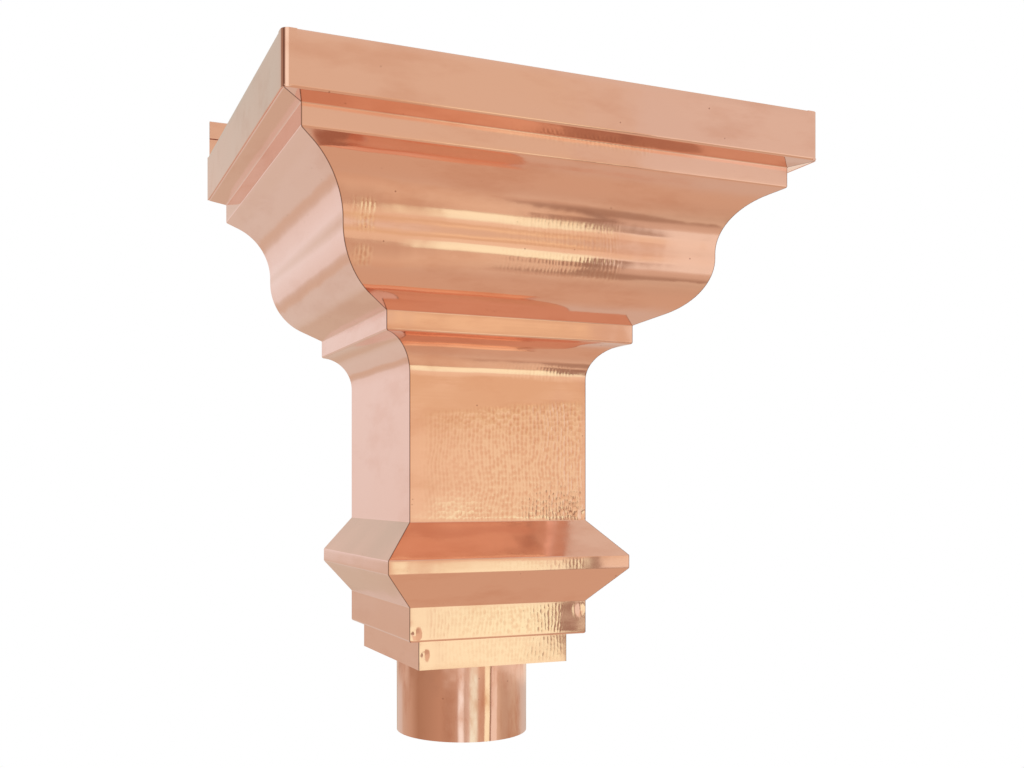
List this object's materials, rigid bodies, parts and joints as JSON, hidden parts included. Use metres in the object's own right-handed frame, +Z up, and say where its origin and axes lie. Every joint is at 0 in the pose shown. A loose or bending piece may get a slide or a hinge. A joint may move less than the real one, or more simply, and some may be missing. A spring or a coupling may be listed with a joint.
{
  "type": "rainwater hopper",
  "caption": "Wall-hung sheet copper gutter hopper: flared moulded box with an open top, square neck and round outlet spigot.",
  "frame": {"origin": "on the wall plane (rear face of the back plate), on the centre line, at the height of the rim", "axes": "+Z up, +Y into the wall, +X to the right seen from the front; the front faces -Y"},
  "size_m": [0.359, 0.25, 0.4569],
  "materials": {
    "front_panel": "bright new copper sheet",
    "left_side_panel": "bright new copper sheet",
    "right_side_panel": "bright new copper sheet",
    "back_plate": "bright new copper sheet",
    "base_plate": "bright new copper sheet",
    "outlet_tube": "bright new copper sheet"
  },
  "bodies": {
    "root": {"front_panel": "front_panel", "left_side_panel": "left_side_panel", "right_side_panel": "right_side_panel", "back_plate": "back_plate", "base_plate": "base_plate", "outlet_tube": "outlet_tube"}
  },
  "joints": []
}
